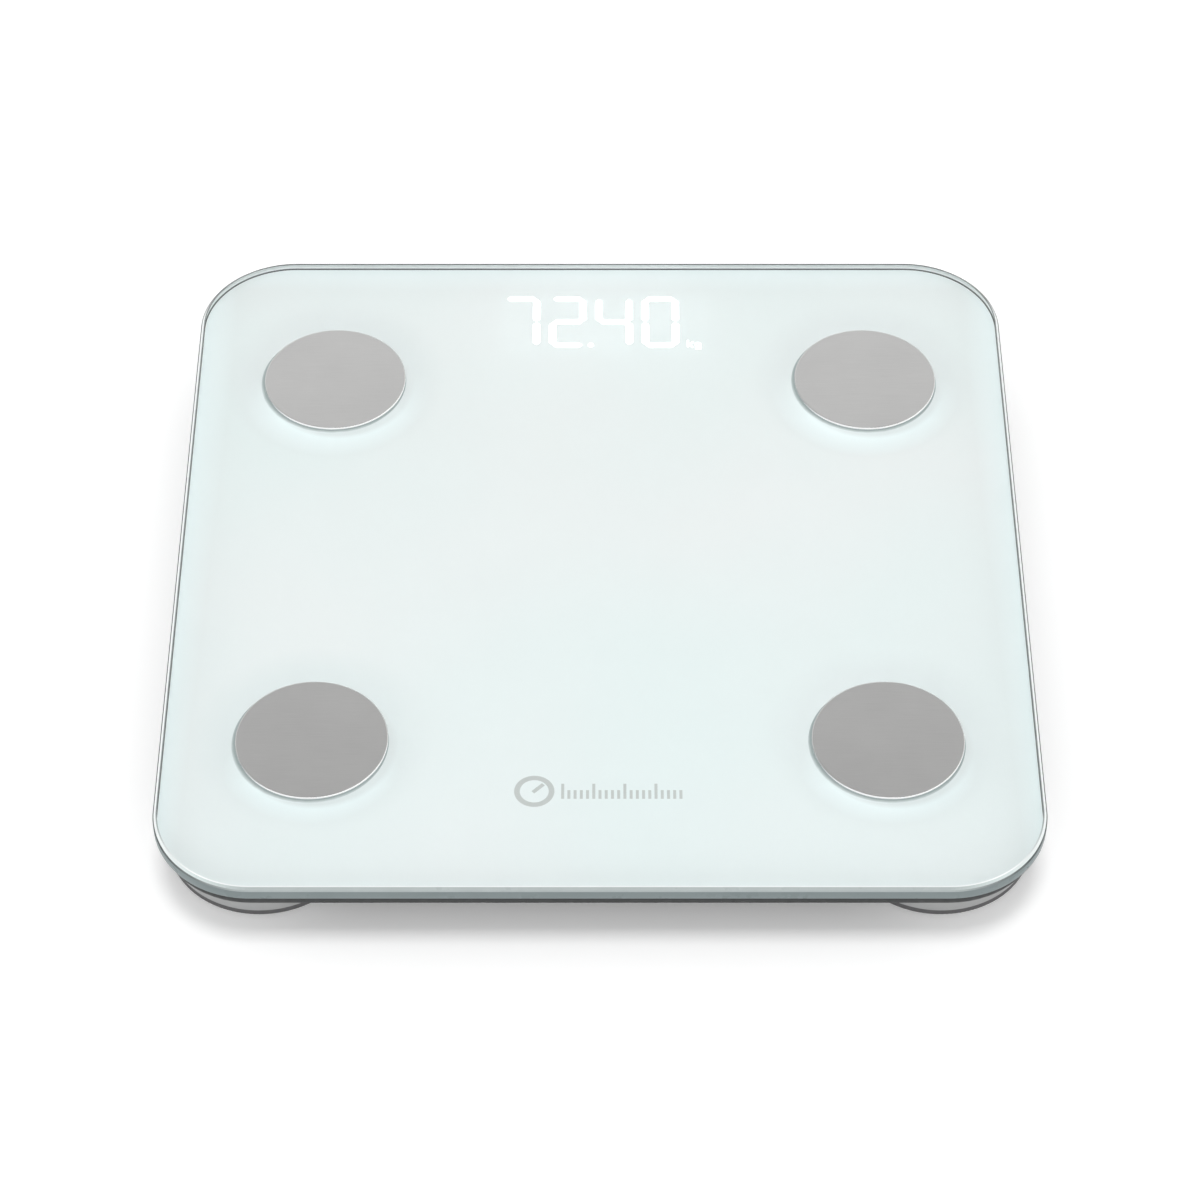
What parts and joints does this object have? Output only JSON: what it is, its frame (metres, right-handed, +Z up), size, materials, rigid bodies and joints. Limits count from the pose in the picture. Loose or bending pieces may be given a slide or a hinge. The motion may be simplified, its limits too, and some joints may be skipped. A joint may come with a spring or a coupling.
{
  "type": "digital bathroom scale",
  "caption": "Square glass body-fat scale with rounded corners, round steel electrodes, hidden lit display, shallow moulded tray and round load-cell feet.",
  "frame": {"origin": "on the floor under the centre of the glass plate", "axes": "+Z up out of the glass, +Y towards the display edge, +X to the right of a person standing on it and facing the display"},
  "size_m": [0.3, 0.305, 0.0238],
  "materials": {
    "glass": "polished tempered glass",
    "white_print": "smooth printed white",
    "grey_print": "printed light grey",
    "lit_display": "light guide, lit white",
    "display_plastic": "white reflector plastic",
    "electrode_steel": "fine satin stainless steel",
    "adhesive": "foam tape",
    "plated_steel": "nickel-plated steel",
    "tinned_brass": "tinned",
    "circuit_board": "solder mask",
    "led": "clear epoxy on white",
    "chip_black": "moulded epoxy",
    "shield_can": "stamped shield",
    "connector_plastic": "moulded",
    "ribbon_film": "flat film",
    "gauge_film": "foil on film",
    "lead_sleeve": "PVC sleeve",
    "shell_plastic": "fine moulded texture",
    "button_plastic": "fine moulded texture",
    "battery_can": "plain printed sleeve",
    "cell_steel": "blanked plate",
    "bracket_plastic": "moulded",
    "foot_plastic": "fine moulded texture",
    "foot_rubber": "soft moulded rubber"
  },
  "bodies": {
    "platform": {"glass_plate": "glass", "print_layer": "white_print", "printed_mark": "grey_print", "display_segments_lit": "lit_display", "display_segments_unlit": "display_plastic", "display_housing": "display_plastic", "electrode_front_left": "electrode_steel", "electrode_front_right": "electrode_steel", "electrode_rear_left": "electrode_steel", "electrode_rear_right": "electrode_steel", "electrode_gaskets": "adhesive", "bonding_tape": "adhesive", "electrode_nuts": "plated_steel", "bracket_screws": "plated_steel", "board_screws": "plated_steel", "battery_springs": "plated_steel", "battery_contacts": "plated_steel", "electrode_terminals": "tinned_brass", "display_board": "circuit_board", "main_board": "circuit_board", "display_leds": "led", "microcontroller": "chip_black", "radio_module": "shield_can", "board_connectors": "connector_plastic", "unit_switch": "connector_plastic", "display_ribbon": "ribbon_film", "strain_gauges": "gauge_film", "load_cell_leads": "lead_sleeve", "electrode_leads": "lead_sleeve", "battery_leads": "lead_sleeve", "base_shell": "shell_plastic", "battery_1": "battery_can", "battery_2": "battery_can", "battery_3": "battery_can", "load_cell_front_left": "cell_steel", "load_cell_front_right": "cell_steel", "load_cell_rear_left": "cell_steel", "load_cell_rear_right": "cell_steel", "load_cell_bracket_front_left": "bracket_plastic", "load_cell_bracket_front_right": "bracket_plastic", "load_cell_bracket_rear_left": "bracket_plastic", "load_cell_bracket_rear_right": "bracket_plastic"},
    "foot_front_left": {"foot_cup_front_left": "foot_plastic", "foot_pad_front_left": "foot_rubber", "foot_screw_front_left": "plated_steel"},
    "foot_front_right": {"foot_cup_front_right": "foot_plastic", "foot_pad_front_right": "foot_rubber", "foot_screw_front_right": "plated_steel"},
    "foot_rear_left": {"foot_cup_rear_left": "foot_plastic", "foot_pad_rear_left": "foot_rubber", "foot_screw_rear_left": "plated_steel"},
    "foot_rear_right": {"foot_cup_rear_right": "foot_plastic", "foot_pad_rear_right": "foot_rubber", "foot_screw_rear_right": "plated_steel"},
    "door": {"battery_door": "shell_plastic"},
    "button": {"unit_button": "button_plastic"}
  },
  "joints": [
    {"name": "foot_front_left_press", "type": "slide", "parent": "platform", "child": "foot_front_left", "axis": [0, 0, 1], "range_m": [0, 0.0004], "stiffness_N_per_m": 20000, "springref_m": -0.0003, "deforming": ["load_cell_front_left"]},
    {"name": "foot_front_right_press", "type": "slide", "parent": "platform", "child": "foot_front_right", "axis": [0, 0, 1], "range_m": [0, 0.0004], "stiffness_N_per_m": 20000, "springref_m": -0.0003, "deforming": ["load_cell_front_right"]},
    {"name": "foot_rear_left_press", "type": "slide", "parent": "platform", "child": "foot_rear_left", "axis": [0, 0, 1], "range_m": [0, 0.0004], "stiffness_N_per_m": 20000, "springref_m": -0.0003, "deforming": ["load_cell_rear_left"]},
    {"name": "foot_rear_right_press", "type": "slide", "parent": "platform", "child": "foot_rear_right", "axis": [0, 0, 1], "range_m": [0, 0.0004], "stiffness_N_per_m": 20000, "springref_m": -0.0003, "deforming": ["load_cell_rear_right"]},
    {"name": "battery_door_hinge", "type": "hinge", "parent": "platform", "child": "door", "pos_m": [-0.0273, 0.005, 0.00465], "axis": [0, 1, 0], "range_deg": [0, 50]},
    {"name": "unit_button_press", "type": "slide", "parent": "platform", "child": "button", "axis": [0, 0, 1], "range_m": [0, 0.0004], "stiffness_N_per_m": 300, "springref_m": -0.0005}
  ]
}
